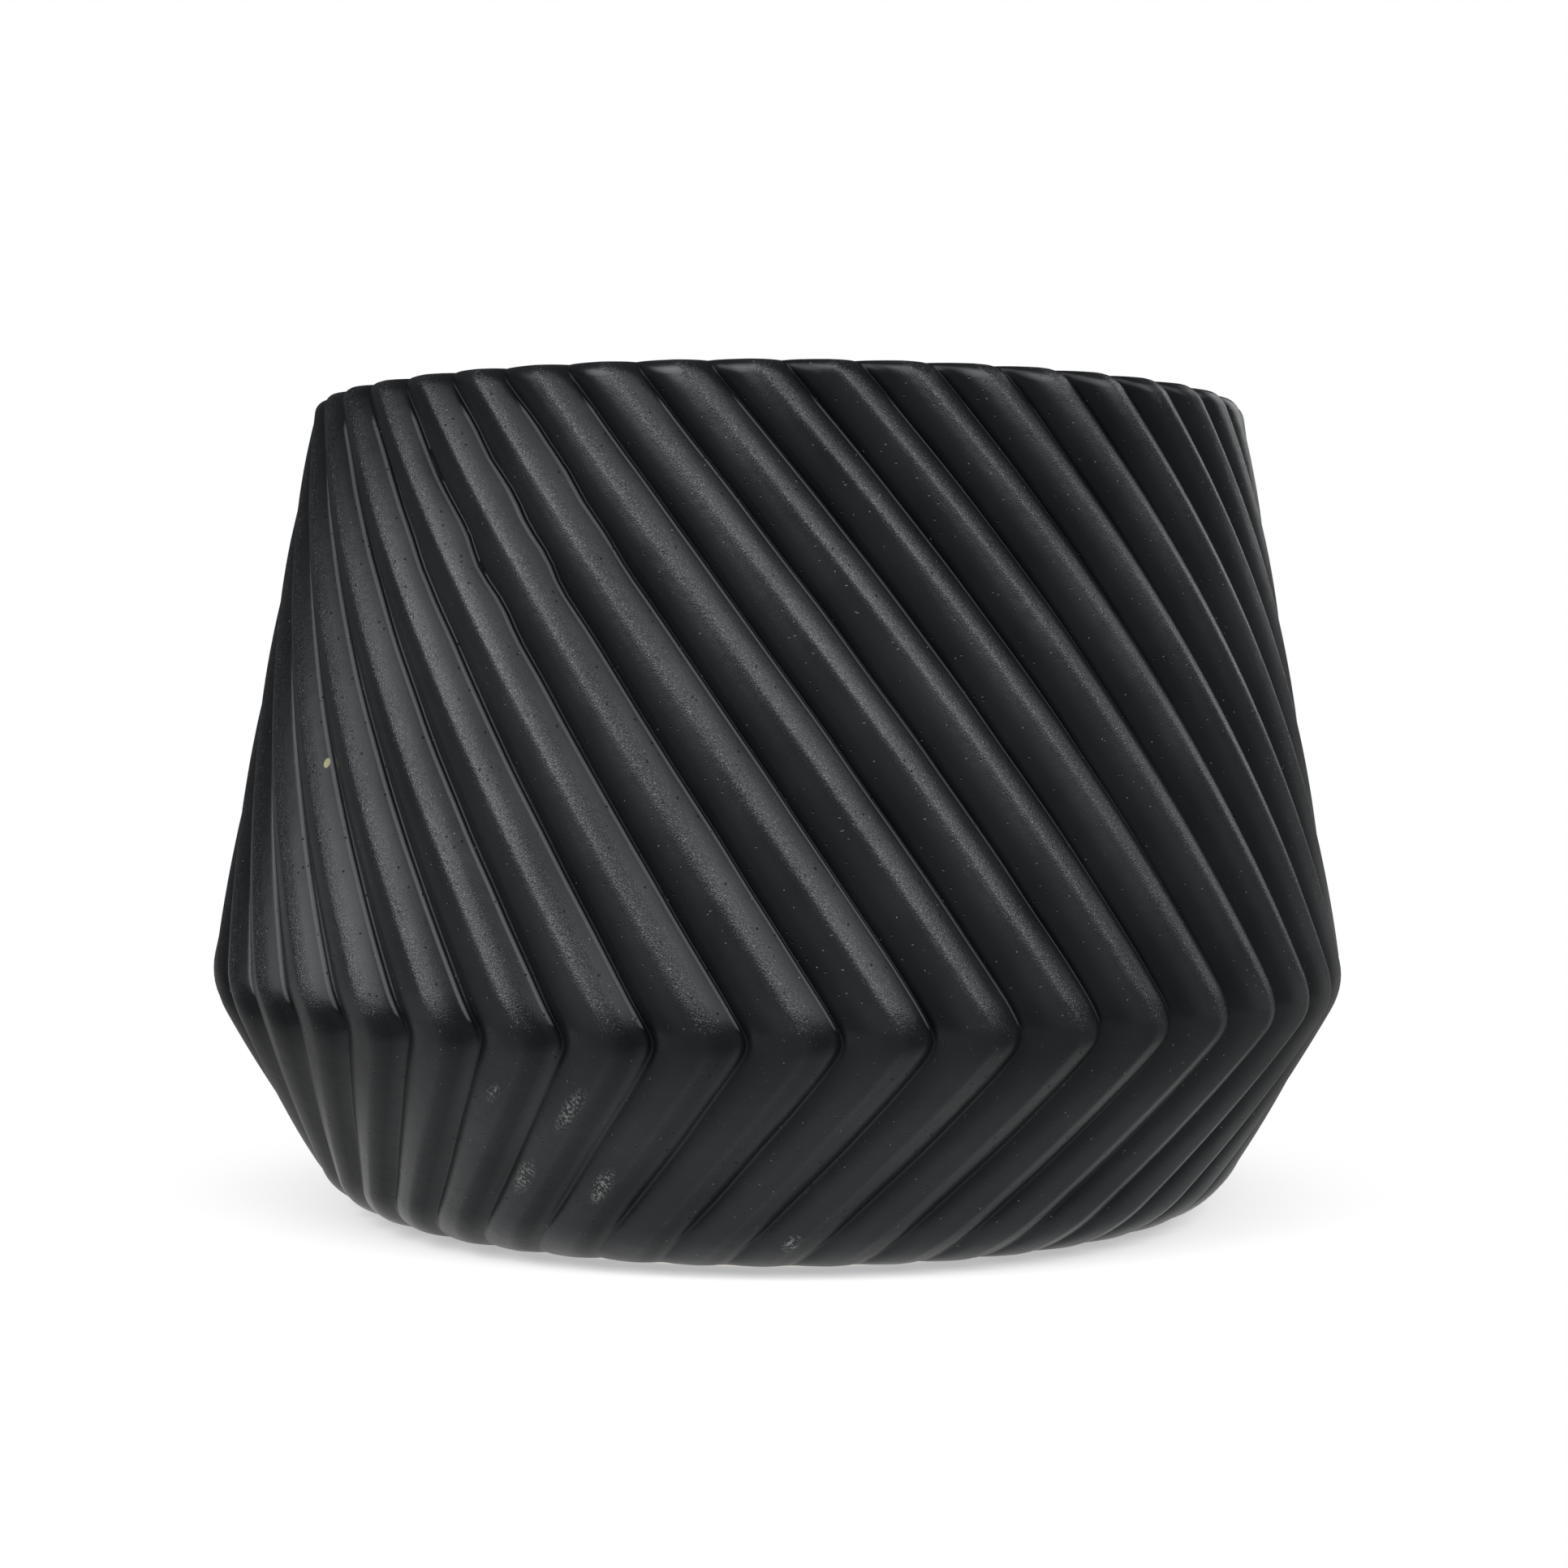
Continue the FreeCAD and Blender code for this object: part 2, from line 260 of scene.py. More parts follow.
# ---------------------------------------------------------------- floor, lights and camera
# Between FLOOR_NEAR and FLOOR_FAR from the jar's axis the floor turns from lit, with a faint glow
# of its own called FLOOR_LIFT, to evenly glowing. The camera sees that glow and the world as
# white, and everything else sees them as FLOOR_LIGHT and WORLD_LIGHT.
FLOOR_RADIUS = 3.0
FLOOR_SIDES = 96
FLOOR_NEAR = 0.038
FLOOR_FAR = 0.067
FLOOR_ROUGHNESS = 0.9
FLOOR_GLOW = 1.0
FLOOR_LIGHT = 0.30
FLOOR_LIFT = 0.44
WORLD_LIGHT = 0.08
CAMERA_DISTANCE = 286.85 * MM
CAMERA_HEIGHT = 48.0 * MM
CAMERA_PITCH = 1.57 * DEGREE
CAMERA_ROLL = 0.16 * DEGREE
CAMERA_YAW = 0.116 * DEGREE
LENS = 68.25
SENSOR = 36.0
LAMP_DISTANCE = 0.75

# Azimuth and elevation in degrees, width and height in metres, and watts per square metre.
SOFTBOXES = {
    "softbox_left": (-52, 31, 0.62, 0.44, 11.5),
    "softbox_right": (46, 31, 0.92, 0.44, 8.2),
    "softbox_top": (-4, 60, 1.00, 0.38, 7.8),
    "softbox_rim": (128, 22, 0.50, 0.40, 4.6),
}


# ---------------------------------------------------------------- paths of (radius, height)
def unit(v):
    """The vector at length 1."""
    return v / np.linalg.norm(v)


def stretch(start, end, spacing):
    """Points after start, up to and including end, about a spacing apart."""
    length = float(np.linalg.norm(end - start))
    count = max(1, round(length / spacing))
    return [start + (end - start) * i / count for i in range(1, count + 1)]


def rounded_path(corners, radii):
    """The path through the corners, with the inner ones rounded."""
    corners = [np.array(c, float) for c in corners]
    points = [corners[0]]
    for before, corner, after, radius in zip(corners, corners[1:], corners[2:], radii):
        back, on = unit(before - corner), unit(after - corner)
        half = math.acos(float(back @ on)) / 2
        centre = corner + unit(back + on) * radius / math.sin(half)
        start = corner + back * radius / math.tan(half)
        end = corner + on * radius / math.tan(half)
        points += stretch(points[-1], start, CONE_STEP)
        first = math.atan2(*(start - centre)[::-1])
        sweep = (math.atan2(*(end - centre)[::-1]) - first + math.pi) % (2 * math.pi) - math.pi
        count = math.ceil(abs(sweep) / min(MAX_ARC_TURN, ARC_STEP / radius))
        for i in range(1, count + 1):
            turn = first + sweep * i / count
            points.append(centre + radius * np.array((math.cos(turn), math.sin(turn))))
    return np.array(points + stretch(points[-1], corners[-1], CONE_STEP))


def path_normals(path):
    """Unit normals to the left of a path as it runs."""
    along = np.gradient(path, axis=0)
    along /= np.linalg.norm(along, axis=1, keepdims=True)
    return np.stack([-along[:, 1], along[:, 0]], 1)


def crossing(point, direction, other, other_direction):
    """Where two lines in the plane of the path cross."""
    cross = direction[0] * other_direction[1] - direction[1] * other_direction[0]
    gap = other - point
    along = gap[0] * other_direction[1] - gap[1] * other_direction[0]
    return point + direction * along / cross


# ---------------------------------------------------------------- meshes
def on_jar(radius, angle, z):
    """Points in space, from a radius, an angle round the jar and a height."""
    return np.stack([radius * np.sin(angle), -radius * np.cos(angle), z + 0 * radius], -1)


def skin(name, rings, loop):
    """A mesh over rings of points. One point alone is a pole. A loop joins the ends."""
    starts = np.cumsum([0] + [len(ring) for ring in rings])
    faces = []
    order = list(range(len(rings))) + ([0] if loop else [])
    for a, b in zip(order, order[1:]):
        if len(rings[a]) == 1 and len(rings[b]) == 1:
            continue
        count = max(len(rings[a]), len(rings[b]))
        i = np.arange(count)
        j = (i + 1) % count
        if len(rings[a]) == 1:
            corners = [starts[a] + 0 * i, starts[b] + i, starts[b] + j]
        elif len(rings[b]) == 1:
            corners = [starts[a] + i, starts[b] + 0 * i, starts[a] + j]
        else:
            corners = [starts[a] + i, starts[b] + i, starts[b] + j, starts[a] + j]
        faces += np.stack(corners, 1).tolist()
    mesh = bpy.data.meshes.new(name)
    mesh.from_pydata(np.concatenate(rings).tolist(), [], faces)
    solid = bmesh.new()
    solid.from_mesh(mesh)
    bmesh.ops.recalc_face_normals(solid, faces=solid.faces)
    solid.to_mesh(mesh)
    solid.free()
    mesh.polygons.foreach_set("use_smooth", [True] * len(mesh.polygons))
    piece = bpy.data.objects.new(name, mesh)
    bpy.context.scene.collection.objects.link(piece)
    return piece


def paint(piece, name, values):
    """Gives the piece's points a value that its material reads."""
    attribute = piece.data.attributes.new(name, "FLOAT", "POINT")
    attribute.data.foreach_set("value", np.concatenate(values).astype(np.float32))


def wander(points, scale, shift=0.0):
    """Smooth noise from -1 to 1 at each point. Another shift gives another noise."""
    offset = Vector((shift, shift, shift))
    flat = [noise.noise(Vector(p) * scale + offset) for p in points.reshape(-1, 3)]
    return np.array(flat).reshape(points.shape[:-1])


# ---------------------------------------------------------------- the ribbed outside
def cone_twist(radius, end_radius, slope_height, lean):
    """Angle that a straight line on the unrolled cone turns by, from the belly to a radius."""
    taper = (BELLY_RADIUS - end_radius) / math.hypot(BELLY_RADIUS - end_radius, slope_height)
    return (np.arcsin(math.sin(lean) * BELLY_RADIUS / radius) - lean) / taper


def twist(z):
    """How far a rib has turned back at each height, with its chevron point rounded off."""
    rise = z - CHEVRON_HEIGHT
    distance = np.hypot(rise, CHEVRON_ROUND) - CHEVRON_ROUND
    above = HEIGHT - CHEVRON_HEIGHT
    below = CHEVRON_HEIGHT - TOE_HEIGHT
    upper_radius = BELLY_RADIUS + (RIM_RADIUS - BELLY_RADIUS) * distance / above
    lower_radius = BELLY_RADIUS + (BASE_RADIUS - BELLY_RADIUS) * np.minimum(distance / below, 1)
    upper = cone_twist(upper_radius, RIM_RADIUS, above, UPPER_LEAN)
    lower = cone_twist(lower_radius, BASE_RADIUS, below, LOWER_LEAN)
    return np.where(rise > 0, upper, lower)


def step(distance, length):
    """Smooth step from 0 to 1 over a length."""
    t = np.clip(distance / length, 0, 1)
    return t * t * (3 - 2 * t)


def groove_depth(z):
    """The grooves' depth at each height. They are shallower near the rim and the base."""
    rim_loss = (GROOVE_DEPTH - GROOVE_DEPTH_AT_RIM) * (1 - step(HEIGHT - z, GROOVE_FADE))
    base_loss = (GROOVE_DEPTH - GROOVE_DEPTH_AT_BASE) * (1 - step(z - TOE_HEIGHT, GROOVE_FADE))
    return GROOVE_DEPTH - rim_loss - base_loss


def softened(t, softness):
    """0 at 0 and 1 at 1, and straight between them but for a soft start."""
    return (np.hypot(t, softness) - softness) / (math.hypot(1, softness) - softness)


def arch(t):
    """0 at 0 and 1 at 1, nearly flat at first and then ever steeper."""
    def sink(share):
        return 1 - np.sqrt(1 - share ** ARCH_POWER)
    return sink(ARCH_FULLNESS * t) / sink(ARCH_FULLNESS)


def rib_drop(place):
    """Depth below the crest, from 0 to 1, at a place across a rib."""
    reach = np.where(place < CREST_PLACE, CREST_PLACE, 1 - CREST_PLACE)
    t = abs(place - CREST_PLACE) / reach
    return CREST_EDGE * softened(t, CREST_SOFTNESS) + (1 - CREST_EDGE) * arch(t)


def filled(drop, fill):
    """The drop once glaze has run into the bottom of the groove."""
    return np.hypot(1, fill) - np.hypot(1 - drop, fill)


def column_places():
    """The columns' places across one rib, closer together at the grooves and the crest."""
    place = np.linspace(0, 1, PLACE_SAMPLES)
    to_groove = np.minimum(place, 1 - place) / GROOVE_REACH
    to_crest = (place - CREST_PLACE) / CREST_REACH
    crowd = 1 + GROOVE_CROWDING * np.exp(-to_groove ** 2)
    crowd += CREST_CROWDING * np.exp(-to_crest ** 2)
    count = np.concatenate([[0], np.cumsum(crowd[1:] + crowd[:-1])])
    return np.interp(np.arange(COLUMNS_PER_RIB) / COLUMNS_PER_RIB, count / count[-1], place)


def groove_waver(points, angle, z, place):
    """How far the glaze pushes a groove sideways, as an angle."""
    in_groove = np.exp(-(np.minimum(place, 1 - place) / WAVER_REACH) ** 2)
    turned = (angle + math.pi) % (2 * math.pi) - math.pi
    in_runs = np.exp(-((turned - RUN_ANGLE) / RUN_SPREAD) ** 2) * step(z - RUN_HEIGHT, RUN_FADE)
    slow = WAVER * wander(points, WAVER_SCALE, WAVER_SHIFT)
    quick = RUN_WAVER * wander(points, RUN_SCALE, RUN_SHIFT)
    return in_groove * (slow + in_runs * quick) / RIM_RADIUS


def bead(place, z):
    """How full the bead along the upper grooves is: a ramp on its left and a drop on its right."""
    share = step(z - CHEVRON_HEIGHT, RIM_ROUND) * step(HEIGHT - RIM_ROUND - z, RIM_ROUND)
    reach = np.where(place < BEAD_PLACE, BEAD_RAMP, BEAD_REACH)
    return share * np.exp(-((place - BEAD_PLACE) / reach) ** 2)


def toothed(place, z):
    """Where thin glaze on and beside the upper crests shows the tooth of the clay, and takes pale
    specks painted as a grainy highlight.
    """
    share = LOWER_TOOTH + (1 - LOWER_TOOTH) * step(z - TIP_HEIGHT, TIP_FADE)
    rise = step(place - TOOTH_START, TOOTH_RISE)
    return share * rise * (1 - step(place - CREST_PLACE, TOOTH_FADE))


def sheen(place, z):
    """How glossy the glaze is, from the tables for above and below the chevron points."""
    above = step(z - TIP_HEIGHT, TIP_FADE)
    upper = np.interp(place, list(UPPER_SHEEN), list(UPPER_SHEEN.values()))
    upper = upper * (1 - (1 - RIM_SHEEN) * step(z - RIM_SHEEN_START, RIM_SHEEN_RISE))
    lower = np.interp(place, list(LOWER_SHEEN), list(LOWER_SHEEN.values()))
    lower = lower * (BASE_SHEEN + (1 - BASE_SHEEN) * step(z - BASE_SHEEN_START, BASE_SHEEN_RISE))
    return above * upper + (1 - above) * lower


def drip(rib, place, z):
    """How thick the drip is. It lies on one rib and tapers to nothing at both its ends."""
    along = np.clip(1 - ((z - DRIP_MIDDLE) / DRIP_HALF_LENGTH) ** 2, 0, 1)
    return DRIP_HEIGHT * along * np.exp(-((rib + place - DRIP_RIB) / DRIP_REACH) ** 2)


def ribbed_rings(path, back):
    """Rings of the outside, at a depth behind its face, and each point's marks."""
    place = np.tile(column_places(), RIB_COUNT)[None, :]
    rib = np.repeat(np.arange(RIB_COUNT), COLUMNS_PER_RIB)[None, :]
    normals = path_normals(path)
    crest = path - normals * back
    radius, z = crest[:, :1], crest[:, 1:]
    angle = CHEVRON_ANGLE + (rib + place) * RIB_PITCH - twist(z)
    drop = rib_drop(place) + 0 * z
    bare = on_jar(radius - groove_depth(z) * drop, angle, z)
    if back:
        return bare, drop, 0 * drop, 0 * drop, sheen(place, z)
    below = step(CHEVRON_HEIGHT - z, LOWER_FILL_FADE)
    fill = GROOVE_FILL + (LOWER_GROOVE_FILL - GROOVE_FILL) * below
    fill = fill + GROOVE_FILL_CHANGE * wander(bare, SWELL_SCALE, FILL_SHIFT)
    drop = filled(drop, fill)
    angle = angle + groove_waver(bare, angle, z, place)
    coat = GLAZE_SWELL * (wander(bare, SWELL_SCALE) - 1) / 2
    coat += GLAZE_RIPPLE * (wander(bare, RIPPLE_SCALE, RIPPLE_SHIFT) - 1) / 2
    coat += drip(rib, place, z)
    edge = bead(place, z)
    r = radius - groove_depth(z) * drop + BEAD_HEIGHT * edge + normals[:, :1] * coat
    points = on_jar(r, angle, z + normals[:, 1:] * coat)
    return points, drop, edge, toothed(place, z), sheen(place, z)


def flat_ring(neighbour, radius, share=1.0):
    """A ring at the neighbour's height, moved a share of the way to a radius."""
    own = np.hypot(neighbour[:, 0], neighbour[:, 1])
    scale = (own + (radius - own) * share) / own
    return neighbour * np.stack([scale, scale, np.ones_like(scale)], 1)


def make_outside():
    """The glaze over the ribs, the rim and the rounded base, and the back of that coat."""
    corners = [
        (SPLIT_RADIUS, HEIGHT),
        (RIM_RADIUS, HEIGHT),
        (BELLY_RADIUS, BELLY_HEIGHT),
        (BASE_RADIUS, TOE_HEIGHT),
        (FOOT_OUTER_RADIUS, TOE_HEIGHT),
    ]
    path = rounded_path(corners, (RIM_ROUND, BELLY_ROUND, BASE_ROUND))
    on_lip = np.flatnonzero(path[:, 1] > HEIGHT - NO_LENGTH)
    on_toe = np.flatnonzero(path[:, 1] < TOE_HEIGHT + NO_LENGTH)
    ribbed = path[on_lip[-1]:on_toe[0] + 1]
    front, *front_marks = ribbed_rings(ribbed, 0)
    rows = list(range(0, len(ribbed), BACK_ROW_EVERY)) + [len(ribbed) - 1]
    back, *back_marks = ribbed_rings(ribbed[rows], GLAZE_BACK)
    lip = [flat_ring(front[0], SPLIT_RADIUS), flat_ring(front[0], SPLIT_RADIUS, 0.5)]
    toe = [flat_ring(front[-1], FOOT_OUTER_RADIUS, 0.5), flat_ring(front[-1], FOOT_OUTER_RADIUS)]
    under = [flat_ring(back[-1], FOOT_OUTER_RADIUS)]
    over = [flat_ring(back[0], SPLIT_RADIUS)]
    rings = lip + list(front) + toe + under + list(back[::-1]) + over
    piece = skin("glazed_outside", rings, loop=True)
    for name, marks, behind in zip(MARKS, front_marks, back_marks):
        above = [marks[0]] * len(lip)
        below = [marks[-1]] * len(toe + under)
        paint(piece, name, above + list(marks) + below + list(behind[::-1]) + [marks[0]])
    return piece


# ---------------------------------------------------------------- the inside and the underside
def ghost_share(z):
    """How strongly the ribs show inside. They fade out towards the mouth's land and the floor."""
    from_land = np.clip((HEIGHT - LIP_ROUND - MOUTH_LAND - z) / GROOVE_FADE, 0, 1)
    from_floor = np.clip((z - FLOOR_HEIGHT) / GROOVE_FADE, 0, 1)
    return from_land * from_floor


def round_rings(path, ghost):
    """Rings turned about the axis, raised by a ghost of the ribs. The path ends on the axis."""
    turn = 2 * math.pi * np.arange(INSIDE_COLUMNS) / INSIDE_COLUMNS
    rings = []
    for (radius, z), (normal_r, normal_z) in zip(path[:-1], path_normals(path)):
        rib = (1 + np.cos(RIB_COUNT * (turn - CHEVRON_ANGLE + twist(z)))) / 2
        rise = ghost * ghost_share(z) * rib
        rings.append(on_jar(radius + normal_r * rise, turn, z + normal_z * rise))
    return rings + [np.array([(0.0, 0.0, path[-1][1])])]


def inside_path():
    """The inside's profile: the mouth's land, a wall of even thickness, and the floor."""
    belly = np.array((BELLY_RADIUS, BELLY_HEIGHT))
    rim = np.array((RIM_RADIUS, HEIGHT))
    upper = unit(belly - rim)
    lower = unit(np.array((BASE_RADIUS, TOE_HEIGHT)) - belly)
    upper_point = rim + WALL * np.array((upper[1], -upper[0]))
    lower_point = belly + WALL * np.array((lower[1], -lower[0]))
    floor = np.array((0.0, FLOOR_HEIGHT))
    corners = [
        (SPLIT_RADIUS, HEIGHT),
        (MOUTH_RADIUS, HEIGHT),
        (MOUTH_RADIUS, HEIGHT - LIP_ROUND - MOUTH_LAND),
        crossing(upper_point, upper, lower_point, lower),
        crossing(lower_point, lower, floor, np.array((1.0, 0.0))),
        floor,
    ]
    return rounded_path(corners, (LIP_ROUND, LAND_ROUND, INNER_BELLY_ROUND, INNER_FLOOR_ROUND))


def make_inside():
    """The coat inside the jar, on which the ribs of the mould show faintly."""
    path = inside_path()
    rows = list(range(0, len(path) - 1, BACK_ROW_EVERY)) + [len(path) - 1]
    back = (path + path_normals(path) * GLAZE_BACK)[rows]
    back[-1][0] = 0
    rings = round_rings(path, RIB_GHOST) + round_rings(back, 0)[::-1]
    return skin("glazed_inside", rings, loop=True)


def make_puddle():
    """The glaze in the recess under the jar, thicker where it meets the foot ring."""
    steps = np.linspace(1, 0, PUDDLE_ROWS)
    turn = 2 * math.pi * np.arange(INSIDE_COLUMNS) / INSIDE_COLUMNS
    rings = []
    for share in steps[:-1]:
        ring = on_jar(PUDDLE_RADIUS * share + 0 * turn, turn, np.full_like(turn, PUDDLE_BOTTOM))
        edge = math.exp((share - 1) * PUDDLE_RADIUS / PUDDLE_EDGE)
        ring[:, 2] += PUDDLE_SWELL * (1 - edge) * (1 + wander(ring, SWELL_SCALE)) / 2
        rings.append(ring)
    rings.append(np.array([(0.0, 0.0, PUDDLE_BOTTOM + PUDDLE_SWELL / 2)]))
    rings.append(np.array([(0.0, 0.0, PUDDLE_TOP)]))
    rings.append(on_jar(PUDDLE_RADIUS + 0 * turn, turn, np.full_like(turn, PUDDLE_TOP)))
    return skin("glazed_recess", rings, loop=True)


# ---------------------------------------------------------------- materials
def new_material(name):
    """A material, its node tree and its shader."""
    material = bpy.data.materials.new(name)
    material.use_nodes = True
    tree = material.node_tree
    return material, tree, tree.nodes["Principled BSDF"]


def feed(tree, socket, value):
    """Links another node's output to a socket, or sets the socket to a number or colour."""
    if isinstance(value, bpy.types.NodeSocket):
        tree.links.new(value, socket)
    else:
        socket.default_value = value


def node(tree, kind, **inputs):
    """A node of this kind, with what its inputs are fed."""
    made = tree.nodes.new("ShaderNode" + kind)
    for name, value in inputs.items():
        feed(tree, made.inputs[name], value)
    return made


def position(tree):
    """Where a point is, in metres."""
    return node(tree, "TexCoord").outputs["Object"]


def cloud(tree, scale, detail, roughness):
    """Soft noise from 0 to 1."""
    made = node(tree, "TexNoise", Scale=scale, Detail=detail, Roughness=roughness)
    feed(tree, made.inputs["Vector"], position(tree))
    return made.outputs["Fac"]


def spots(tree, scale, radius, solid):
    """1 on small round spots and 0 between them."""
    cells = node(tree, "TexVoronoi", Vector=position(tree), Scale=scale)
    return remap(tree, cells.outputs["Distance"], radius * scale * solid, radius * scale, 1, 0)


def remap(tree, value, low, high, to_low, to_high):
    """Takes low to to_low and high to to_high, evenly between them and no further."""
    made = node(tree, "MapRange", Value=value)
    made.inputs["From Min"].default_value = low
    made.inputs["From Max"].default_value = high
    made.inputs["To Min"].default_value = to_low
    made.inputs["To Max"].default_value = to_high
    return made.outputs["Result"]


def maths(tree, operation, a, b):
    """A sum of two values, or another operation on them."""
    made = tree.nodes.new("ShaderNodeMath")
    made.operation = operation
    for socket, value in zip(made.inputs, (a, b)):
        feed(tree, socket, value)
    return made.outputs[0]


def blend(tree, share, first, second):
    """A colour between two others."""
    made = tree.nodes.new("ShaderNodeMix")
    made.data_type = "RGBA"
    sockets = [s for s in made.inputs if s.type == "RGBA"]
    for socket, value in zip([made.inputs[0]] + sockets, (share, first, second)):
        feed(tree, socket, value)
    return [s for s in made.outputs if s.type == "RGBA"][0]


def bump(tree, height, distance, below=None):
    """A normal roughened by a height from 0 to 1 times a distance in metres."""
    made = node(tree, "Bump", Height=height, Distance=distance)
    if below is not None:
        tree.links.new(below, made.inputs["Normal"])
    return made.outputs["Normal"]


def painted(tree, name):
    """A value painted on the points."""
    made = node(tree, "Attribute")
    made.attribute_name = name
    return made.outputs["Fac"]


def nearness(tree, centre, width, length, turn):
    """1 at a centre, and 0 half a width away from it to the sides or half a length along it."""
    local = tree.nodes.new("ShaderNodeMapping")
    local.vector_type = "TEXTURE"
    tree.links.new(position(tree), local.inputs["Vector"])
    local.inputs["Location"].default_value = centre
    local.inputs["Rotation"].default_value = turn
    local.inputs["Scale"].default_value = (width / 2, width / 2, length / 2)
    size = node(tree, "VectorMath", Vector=local.outputs["Vector"])
    size.operation = "LENGTH"
    return remap(tree, size.outputs["Value"], 0, 1, 1, 0)


def on_crest(angle, height):
    """A point on the jar's crests."""
    share = (height - BELLY_HEIGHT) / (HEIGHT - BELLY_HEIGHT)
    radius = BELLY_RADIUS + (RIM_RADIUS - BELLY_RADIUS) * share
    if share < 0:
        share = (BELLY_HEIGHT - height) / (BELLY_HEIGHT - TOE_HEIGHT)
        radius = BELLY_RADIUS + (BASE_RADIUS - BELLY_RADIUS) * share
    return radius * math.sin(angle), -radius * math.cos(angle), height


def marked(tree, colour):
    """Adds the scuffs low on the front, where fine pale specks crowd together, and one fleck."""
    specks = remap(tree, cloud(tree, *SCUFF_NOISE), *SCUFF_RANGE, 0, 1)
    for angle, height, width, length in SCUFFS:
        centre = on_crest(angle * DEGREE, height * MM)
        near = nearness(tree, centre, width * MM, length * MM, SCUFF_TURN)
        colour = blend(tree, maths(tree, "MULTIPLY", near, specks), colour, SCUFF)
    x = FLECK_RADIUS * math.sin(FLECK_ANGLE)
    y = -FLECK_RADIUS * math.cos(FLECK_ANGLE)
    fleck = nearness(tree, (x, y, FLECK_HEIGHT), FLECK_WIDTH, FLECK_LENGTH, (0, 0, 0))
    return blend(tree, remap(tree, fleck, *FLECK_RANGE, 0, 1), colour, FLECK)


def rib_colour(tree, colour, grit):
    """Adds painted shade in the grooves, a painted highlight along the beads' edges, scuffs, and
    pale specks painted as a grainy highlight where the glaze is thin.
    """
    # Painted shade, darker the deeper into a groove.
    painted_groove_shade = remap(tree, painted(tree, "groove"), *GROOVE_SHADE_RANGE, 0, 1)
    colour = blend(tree, painted_groove_shade, colour, PAINTED_SHADE_BLACK)
    # Painted highlight along the beads' edges.
    painted_edge_highlight = remap(tree, painted(tree, "edge"), *EDGE_HIGHLIGHT_RANGE, 0, 1)
    colour = blend(tree, painted_edge_highlight, colour, EDGE_HIGHLIGHT_GREY)
    colour = marked(tree, colour)
    # Pale specks painted as a grainy highlight on the thin crest glaze.
    specks = remap(tree, grit, *GLINT_SPECK_RANGE, 0, 1)
    specks = maths(tree, "MULTIPLY", specks, painted(tree, "tooth"))
    return blend(tree, specks, colour, GLINT_SPECK_GREY)


def rib_gloss(tree, grit):
    """The painted sheen, a little patchy, with dull gaps between the grit."""
    gaps = remap(tree, grit, *GAP_RANGE, 0, GRIT_GAP)
    gaps = maths(tree, "MULTIPLY", gaps, painted(tree, "tooth"))
    patchy = remap(tree, cloud(tree, *PATCH_NOISE), *PATCH_RANGE, PATCH_LOW, PATCH_HIGH)
    gloss = maths(tree, "MULTIPLY", painted(tree, "sheen"), patchy)
    return maths(tree, "MULTIPLY", gloss, maths(tree, "SUBTRACT", 1, gaps))


def glaze(name, roughness, worn, on_ribs):
    """Satin black glaze with cloudy wear, dust, and pinholes darkened with painted shade."""
    material, tree, shader = new_material(name)
    shader.inputs["IOR"].default_value = GLAZE_IOR
    shader.inputs["Specular Tint"].default_value = COOL_SHEEN
    wear = remap(tree, cloud(tree, *WEAR_NOISE), *WEAR_RANGE, 0, worn)
    colour = blend(tree, wear, BLACK, WORN_BLACK)
    tooth = SMOOTH_TOOTH
    if on_ribs:
        grit = cloud(tree, *GRIT_NOISE)
        colour = rib_colour(tree, colour, grit)
        feed(tree, shader.inputs["Specular IOR Level"], rib_gloss(tree, grit))
        tooth = remap(tree, painted(tree, "tooth"), 0, 1, WALL_TOOTH, 1)
    colour = blend(tree, spots(tree, *DUST_SPOTS), colour, DUST)
    # The pinholes are dented, and their colour is darkened as painted shade.
    pits = spots(tree, *PIT_SPOTS)
    feed(tree, shader.inputs["Base Color"], blend(tree, pits, colour, PAINTED_SHADE_BLACK))
    smooth, dull = roughness - SATIN_DIP, roughness + SATIN_RISE
    satin = remap(tree, cloud(tree, *SATIN_NOISE), *SATIN_RANGE, smooth, dull)
    feed(tree, shader.inputs["Roughness"], satin)
    grain = maths(tree, "MULTIPLY", cloud(tree, *GRAIN_NOISE), tooth)
    fine = bump(tree, grain, GRAIN_DEPTH)
    rolling = bump(tree, cloud(tree, *ROLL_NOISE), ROLL_DEPTH, fine)
    pitted = bump(tree, maths(tree, "SUBTRACT", 1, pits), PIT_DEPTH, rolling)
    feed(tree, shader.inputs["Normal"], pitted)
    return material


def bare_clay():
    """Unglazed fired clay, with iron specks and a rough tooth."""
    material, tree, shader = new_material("bare_clay")
    pale = remap(tree, cloud(tree, *CLAY_NOISE), *CLAY_RANGE, 0, 1)
    colour = blend(tree, pale, DEEP_CLAY, PALE_CLAY)
    colour = blend(tree, spots(tree, *IRON_SPOTS), colour, IRON)
    feed(tree, shader.inputs["Base Color"], colour)
    dry = remap(tree, cloud(tree, *CLAY_DRY_NOISE), *CLAY_RANGE, *CLAY_ROUGHNESS)
    feed(tree, shader.inputs["Roughness"], dry)
    tooth = bump(tree, cloud(tree, *CLAY_TOOTH_NOISE), CLAY_TOOTH_DEPTH)
    feed(tree, shader.inputs["Normal"], tooth)
    return material


